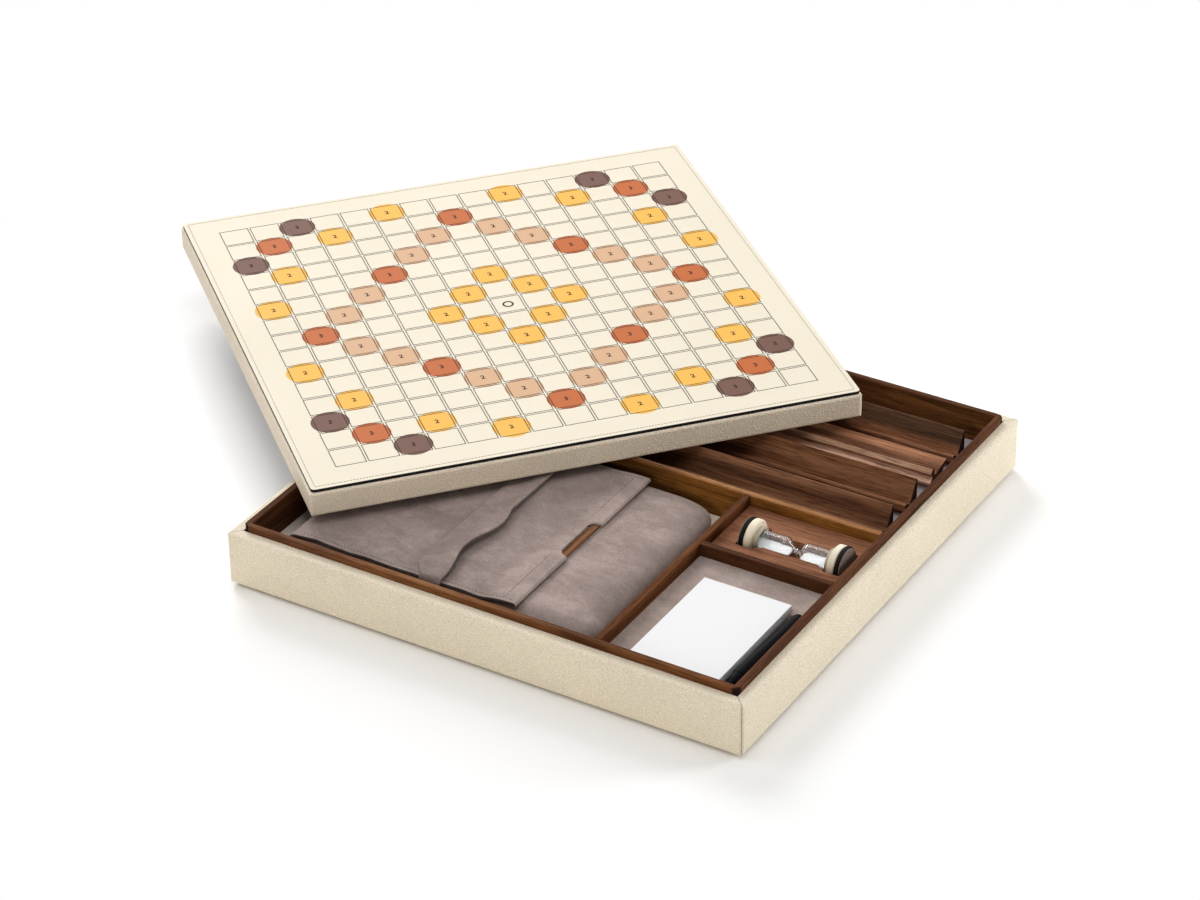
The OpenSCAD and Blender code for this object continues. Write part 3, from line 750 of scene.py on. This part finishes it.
def pouch_body():
    """The filled pouch: suede round the tiles, with a wide soft fold on the right and rounded ends"""
    rings = []
    for i in range(BODY_STEPS + 1):
        share = i / BODY_STEPS
        eased = share - 0.35 * math.sin(2 * math.pi * share) / (2 * math.pi)
        y = POUCH_LOW.y + (POUCH_HIGH.y - POUCH_LOW.y) * eased
        from_front, from_back = y - POUCH_LOW.y, POUCH_HIGH.y - y
        full = 1.0
        for end, reach in ((from_front, END_FRONT), (from_back, END_BACK)):
            full *= math.sqrt(max(1 - max(1 - end / reach, 0.0) ** 2, 0.0))
        corner = max(1 - min(from_front, from_back) / CORNER_R, 0.0)
        bite = CORNER_R * (1 - math.sqrt(1 - min(corner, 1.0) ** 2))
        right = FOLD_TOP_X + FOLD_LEAN * (1 - share) - bite * 0.9
        thick = END_T + (POUCH_T - END_T) * full
        low = POUCH_LOW.z + (POUCH_T - thick) * 0.42
        ring = []
        for x, z in pouch_section(POUCH_LOW.x, right, low, low + thick):
            upper = max((z - FOLD_MIDDLE_Z) / (POUCH_HIGH.z - FOLD_MIDDLE_Z), 0.0) ** 2
            sink = (0.45 * ripple(x, y, 46, 3.7) - 0.45) * upper * full
            crumple = 0.18 * ripple(x, y, 15, 9.2) * upper * full * lifted(x, 10, 30)
            ring.append((x, y, z + min(sink + crumple, 0.0)))
        rings.append(ring)
    across = len(rings[0])
    points = [p for ring in rings for p in ring]
    faces = [tuple(reversed(f)) for f in grid_faces(len(rings), across, closed=True)]
    faces.append(tuple(range(across)))
    faces.append(tuple(reversed(range(len(points) - across, len(points)))))
    body = add_piece("pouch_body", points, faces, pouch_suede, "pouch")
    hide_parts("pouch_back", "pouch_front")


def notch_depth(y):
    """How far the flap's edge is cut back for the slat"""
    off = abs(y - NOTCH_Y) - NOTCH_HALF
    if off <= 0:
        return NOTCH_R
    return NOTCH_R * math.sqrt(1 - (off / NOTCH_R) ** 2) if off < NOTCH_R else 0.0


def flap_height(x, y):
    """Height of the flap's upper side: it follows the pouch, swells over the slat and droops at its front"""
    droop = DROOP * lifted(FLAP_FRONT + DROOP_W - y, 0, DROOP_W) * (0.8 + 0.7 * ripple(x, 0, 30, 1.1))
    swell = (HEM_Z - FLAP_Z) * lifted(x, FLAP_X - HEM_W - 12, FLAP_X - HEM_W + 8)
    return FLAP_Z + swell + 0.3 * ripple(x, y, 44, 8.3) - max(droop, 0.0) * (1 - 0.6 * lifted(x, -20, 5))


def flap_row(y):
    """One line along the flap: round the pouch's left end, over its top, and down the turned edge"""
    fold_x = POUCH_LOW.x + FOLD_R
    radius = FLAP_Z - POUCH_Z
    row = []
    for k in range(ROUND_STEPS + 1):
        a = math.radians(215 - 125 * k / ROUND_STEPS)
        share = lifted(k, ROUND_STEPS / 2, ROUND_STEPS)
        row.append((fold_x + radius * math.cos(a), POUCH_Z + radius * math.sin(a) * (1 - share)
                    + share * (flap_height(fold_x, y) - POUCH_Z) * math.sin(a)))
    cut = notch_depth(y)
    edge = FLAP_X + EDGE_PAST - cut
    turn = edge - EDGE_TURN
    for k in range(1, FLAT_STEPS + 1):
        x = fold_x + (turn - fold_x) * k / FLAT_STEPS
        row.append((x, flap_height(x, y)))
    level = flap_height(turn, y)
    drop = EDGE_DROP * max(1 - cut / NOTCH_R, 0.0) ** 0.5
    for k in range(1, EDGE_STEPS + 1):
        a = math.pi / 2 * (1 - k / EDGE_STEPS)
        row.append((turn + EDGE_TURN * math.cos(a), level - min(drop, EDGE_TURN) * (1 - math.sin(a))))
    row.append((edge + 0.02, level - max(drop, 0.03)))
    return row


def pouch_flap():
    """The flap, with a slight unevenness in its front and back edge, and its rows of thread"""
    count = int((FLAP_BACK - FLAP_FRONT) / FLAP_STEP)
    rows = []
    for i in range(count + 1):
        y = FLAP_FRONT + (FLAP_BACK - FLAP_FRONT) * i / count
        row = []
        for x, z in flap_row(y):
            near_front = lifted(FLAP_FRONT + 10 - y, 0, 10)
            near_back = lifted(y - FLAP_BACK + 10, 0, 10)
            shift = 0.9 * ripple(x, 0, 17, 6.1) * near_front + 0.6 * ripple(x, 0, 21, 2.2) * near_back
            row.append(Vector((x, y + shift, z)))
        rows.append(row)
    points, faces = thick_sheet(rows, FLAP_T)
    flap = add_piece("pouch_cover", points, faces, pouch_suede, "pouch")
    cut_edges(flap, faces, 2 * (len(rows) + len(rows[0])) - 4, suede_edge)
    round_edges(flap, 0.35)
    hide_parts("pouch_flap")

    def seam(start, end, count):
        """Places on the flap between two points of its plan"""
        spots = [Vector(start).lerp(Vector(end), k / count) for k in range(count + 1)]
        return [Vector((spot.x, spot.y, surface_at(rows, spot.x, spot.y))) for spot in spots]

    left, right = POUCH_LOW.x + FOLD_R + 1, FLAP_X - 3
    notch_end = NOTCH_HALF + NOTCH_R + 3
    paths = [seam((left, y), (right, y), 60) for y in (FLAP_FRONT + SEAM_IN, FLAP_BACK - SEAM_IN)]
    paths += [seam((HEM_ROW_X, a), (HEM_ROW_X, b), 40)
              for a, b in ((FLAP_FRONT + 4, NOTCH_Y - notch_end), (NOTCH_Y + notch_end, FLAP_BACK - 4))]
    stitches("pouch_stitching", paths, POUCH_STITCH, thread, "pouch")
    return rows


def surface_at(rows, x, y):
    """Height of a sheet of rows at a place, from its nearest row"""
    row = min(rows, key=lambda r: abs(r[len(r) // 2].y - y))
    for a, b in zip(row[ROUND_STEPS:], row[ROUND_STEPS + 1:]):
        if a.x <= x <= b.x:
            return a.z + (b.z - a.z) * (x - a.x) / max(b.x - a.x, 1e-6)
    return row[-EDGE_STEPS].z


def strap_right(t):
    """The strap's right edge, from 0 in front to 1 at the back, which waves where it lifts off the flap"""
    wave = STRAP_WAVE * math.sin(math.radians(900 * t - 108)) if t < STRAP_WAVE_END else 0.0
    return STRAP_RIGHT - wave


def strap_left(t):
    """The strap's left edge, which is drawn in at its foot"""
    return STRAP_LEFT + 0.8 * t + STRAP_FOOT * lifted(STRAP_FOOT_END - t, 0, STRAP_FOOT_END)


def strap_curl(t):
    """How far the right edge stands off the flap"""
    return STRAP_CURL * lifted(t, 0.0, 0.12) * (1 - 0.45 * lifted(t, 0.5, 0.8)) + 0.6 * math.sin(9 * t)


def pouch_strap(flap_rows):
    """A loose band over the flap: it comes up over the front edge, and its right edge curls off the flap"""
    front, back = POUCH_LOW.y + 0.2, POUCH_HIGH.y - 1.2
    bend = STRAP_BEND
    top = FLAP_Z + STRAP_T + 0.15
    stations = [(front, z) for z in (POUCH_Z - 2.5, POUCH_Z + 1.5, POUCH_Z + 3, POUCH_Z + 4.5, POUCH_Z + 6)]
    for k in range(7):
        a = math.pi / 2 * k / 6
        stations.append((front + bend - bend * math.cos(a), top - 0.8 - bend + bend * math.sin(a)))
    stations += [(front + bend + (back - 2 * bend - front) * k / STRAP_ALONG, None)
                 for k in range(1, STRAP_ALONG + 1)]
    rows, across = [], STRAP_ACROSS
    for y, z in stations:
        t = min(max((y - front) / (back - front), 0.0), 1.0)
        rise = strap_curl(t)
        row = []
        for j in range(across + 1):
            s = j / across
            curl = rise * lifted(s, 0.30, 1.05) + 0.4 * math.sin(math.pi * s)
            x = strap_left(t) + (strap_right(t) - strap_left(t)) * s + 0.69 * curl * s
            if z is None:
                flat = max(surface_at(flap_rows, x, y), FLAP_Z - 1.0)
                settle = lifted(y, front + bend, front + bend + 14)
                height = flat * settle + (FLAP_Z - 0.8) * (1 - settle) + STRAP_T + 0.15 + curl
            else:
                height = z + curl * lifted(z, top - bend - 1, top)
            row.append(Vector((x, y, min(height, STRAP_LIMIT))))
        rows.append(row)
    points, faces = thick_sheet(rows, STRAP_T)
    strap = add_piece("pouch_band", points, faces, pouch_suede, "pouch")
    cut_edges(strap, faces, 2 * (len(rows) + len(rows[0])) - 4, strap_edge)
    round_edges(strap, 0.45)
    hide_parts("pouch_strap")


# Notepad

PAD_SHEETS = 22
PAD_SLIP = 0.16
PAD_INSET = 0.2


def notepad_stack():
    """Loose sheets, each a hair out of line with the next"""
    low, high = box_mm("notepad_sheets")
    pitch = (high.z - low.z) / PAD_SHEETS
    thick = pitch * 0.9
    points, faces = [], []
    for k in range(PAD_SHEETS):
        dx, dy = (PAD_SLIP * noise.noise(Vector((k * 1.7, s, 0.5))) for s in (2.0, 9.0))
        x0, x1 = low.x + PAD_INSET + dx, high.x - PAD_INSET + dx
        y0, y1 = low.y + PAD_INSET + dy, high.y - PAD_INSET + dy
        z = low.z + k * pitch
        start = len(points)
        for level in (z, z + thick):
            points += [(x0, y0, level), (x1, y0, level), (x1, y1, level), (x0, y1, level)]
        faces += grid_faces(2, 4, start, closed=True)
        faces.append(tuple(start + j for j in (3, 2, 1, 0)))
        faces.append(tuple(start + j for j in (4, 5, 6, 7)))
    stack = add_piece("notepad_paper", points, faces, paper, "notepad", smooth=False)
    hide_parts("notepad_sheets")


# Sand

GLASS_LOW, GLASS_HIGH = box_mm("timer_glass")
GLASS_T = 0.9
GLASS_R = (GLASS_HIGH.z - GLASS_LOW.z) / 2
NECK_R = 1.9
SHOULDER = 8.5
SAND_GAP = 0.2
SAND_FROM = SHOULDER * 0.52
SAND_LEVEL = -2.4


def bulb_radius(x):
    """Inside of the glass at a distance from the neck, less the sand's gap"""
    t = min(x / SHOULDER, 1.0)
    return NECK_R + (GLASS_R - NECK_R) * (1 - math.cos(math.pi * t)) / 2 - GLASS_T - SAND_GAP


def timer_sand():
    """Loose sand that lies low in both bulbs, with a slightly uneven top"""
    low, high = box_mm("timer_sand")
    middle = (GLASS_LOW + GLASS_HIGH) / 2
    reach = (high.x - low.x) / 2
    stations, arc, top = 44, 20, 8
    points, faces = [], []
    for side in (-1, 1):
        start = len(points)
        for i in range(stations + 1):
            along = SAND_FROM + (reach - SAND_FROM) * i / stations
            r = bulb_radius(along)
            level = max(SAND_LEVEL + 0.35 * noise.noise(Vector((along / 7, side, 4.4))), 0.12 - r)
            half = math.sqrt(max(r * r - level * level, 0.0))
            a = math.atan2(level, half)
            ring = [(r * math.cos(t), r * math.sin(t)) for t in
                    (a - (math.pi + 2 * a) * k / arc for k in range(arc + 1))]
            ring += [(-half + 2 * half * k / top,
                      level + 0.12 * noise.noise(Vector((along / 3, k / 2, side)))) for k in range(1, top)]
            points += [(middle.x + side * along, middle.y + v, middle.z + w) for v, w in ring]
        across = arc + top
        quads = grid_faces(stations + 1, across, start, closed=True)
        end = start + stations * across
        quads += [tuple(range(start + across - 1, start - 1, -1)), tuple(range(end, end + across))]
        faces += quads if side > 0 else [tuple(reversed(q)) for q in quads]
    heap = add_piece("timer_loose_sand", points, faces, white_sand, "timer")
    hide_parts("timer_sand")


# Camera, light and floor

CAM_AZIMUTH = math.radians(31.49)
CAM_ELEVATION = math.radians(32.01)
CAM_ROLL = math.radians(-0.84)
CAM_DISTANCE = 2.6685
CAM_TARGET = Vector((-0.0453, 0.0332, 0.030))
CAM_LENS = 113.67
CAM_SENSOR = 36.0


def toward(azimuth, elevation):
    """Direction from the object, with azimuth 0 at the front and 90 degrees on the right"""
    return Vector((math.sin(azimuth) * math.cos(elevation), -math.cos(azimuth) * math.cos(elevation),
                   math.sin(elevation)))


def place_camera():
    data = bpy.data.cameras.new("camera")
    data.sensor_fit = "HORIZONTAL"
    data.sensor_width = CAM_SENSOR
    data.lens = CAM_LENS
    data.clip_start, data.clip_end = 0.05, 50.0
    camera = bpy.data.objects.new("camera", data)
    back = toward(CAM_AZIMUTH, CAM_ELEVATION)
    right = Vector((math.cos(CAM_AZIMUTH), math.sin(CAM_AZIMUTH), 0))
    up = back.cross(right)
    rolled_right = right * math.cos(CAM_ROLL) + up * math.sin(CAM_ROLL)
    rolled_up = up * math.cos(CAM_ROLL) - right * math.sin(CAM_ROLL)
    axes = Matrix((rolled_right, rolled_up, back)).transposed()
    camera.matrix_world = Matrix.Translation(CAM_TARGET + back * CAM_DISTANCE) @ axes.to_4x4()
    bpy.context.scene.collection.objects.link(camera)
    bpy.context.scene.camera = camera


NEUTRAL = (1, 1, 1)
WARM = (1.0, 0.945, 0.86)
# Name, azimuth and elevation in degrees, distance and size in metres, power in watts, and colour
LAMPS = (
    ("key_lamp", -55, 46, 2.2, 1.2, 10.0, NEUTRAL),
    ("back_lamp", -128, 34, 3.6, 2.0, 98.0, NEUTRAL),
    ("top_lamp", 60, 84, 2.2, 1.5, 18.2, NEUTRAL),
    ("front_lamp", 5, 12, 2.2, 0.8, 12.5, WARM),
    ("right_lamp", 132, 13, 2.2, 0.8, 33.5, NEUTRAL),
)
LAMP_AIM = Vector((0, 0, 0.03))
WORLD_FILL = 0.13


def soft_lamp(name, azimuth, elevation, distance, size, power, colour):
    data = bpy.data.lights.new(name, "AREA")
    data.shape = "SQUARE"
    data.size = size
    data.energy = power
    data.color = colour
    lamp = bpy.data.objects.new(name, data)
    away = toward(math.radians(azimuth), math.radians(elevation))
    lamp.location = LAMP_AIM + away * distance
    lamp.rotation_euler = away.to_track_quat("Z", "Y").to_euler()
    bpy.context.scene.collection.objects.link(lamp)


def studio():
    """Soft lamps, and a world that is white to what looks at it and a weak fill to everything else"""
    for lamp in LAMPS:
        soft_lamp(*lamp)
    world = bpy.data.worlds.new("studio")
    bpy.context.scene.world = world
    world.use_nodes = True
    tree = world.node_tree
    background = tree.nodes["Background"]
    background.inputs["Color"].default_value = (1, 1, 1, 1)
    path = tree.nodes.new("ShaderNodeLightPath")
    seen = tree.nodes.new("ShaderNodeMath")
    seen.operation = "MAXIMUM"
    tree.links.new(path.outputs["Is Camera Ray"], seen.inputs[0])
    tree.links.new(path.outputs["Is Transmission Ray"], seen.inputs[1])
    mirror = tree.nodes.new("ShaderNodeMath")
    mirror.operation = "MAXIMUM"
    tree.links.new(seen.outputs[0], mirror.inputs[0])
    tree.links.new(path.outputs["Is Glossy Ray"], mirror.inputs[1])
    strength = tree.nodes.new("ShaderNodeMapRange")
    strength.inputs["To Min"].default_value = WORLD_FILL
    strength.inputs["To Max"].default_value = 1.0
    tree.links.new(mirror.outputs[0], strength.inputs["Value"])
    tree.links.new(strength.outputs["Result"], background.inputs["Strength"])


FLOOR_HALF, FLOOR_Z = 6000, -0.05
FLOOR_GREY = 0.94
FLOOR_MIDDLE = (-0.05, 0.03, 0.0)
FLOOR_FADE = (0.30, 0.62)


def floor():
    """A pale floor that keeps the object's shadow and fades to white away from it"""
    f = Finish("studio_floor", Roughness=0.9, Specular_IOR_Level=0.05)
    f.colour((FLOOR_GREY,) * 3)
    offset = f.vector_math("SUBTRACT", f.object_coords(), FLOOR_MIDDLE).outputs[0]
    away = f.vector_math("LENGTH", offset).outputs["Value"]
    fade = f.node("MapRange", {"Value": away, "From Min": FLOOR_FADE[0], "From Max": FLOOR_FADE[1]},
                  interpolation_type="SMOOTHSTEP").outputs["Result"]
    fade = f.math("MULTIPLY", fade, f.node("LightPath").outputs["Is Camera Ray"])
    white = f.node("Emission", {"Color": (1, 1, 1, 1), "Strength": 1.0})
    blend = f.node("MixShader", {0: fade, 1: f.shader.outputs[0], 2: white.outputs[0]})
    f.tree.links.new(blend.outputs[0], f.tree.nodes["Material Output"].inputs["Surface"])
    mesh = bpy.data.meshes.new("floor")
    corners = [Vector((sx * FLOOR_HALF, sy * FLOOR_HALF, FLOOR_Z)) * MM
               for sx, sy in ((-1, -1), (1, -1), (1, 1), (-1, 1))]
    mesh.from_pydata(corners, [], [(0, 1, 2, 3)])
    mesh.materials.append(f.material)
    plane = bpy.data.objects.new("floor", mesh)
    bpy.context.scene.collection.objects.link(plane)


place_camera()
studio()
floor()
finish_nodes()
board_grid()
board_discs()
centre_mark()
board_stitching()
pouch_body()
pouch_strap(pouch_flap())
notepad_stack()
timer_sand()

bpy.context.scene.view_settings.view_transform = "Standard"
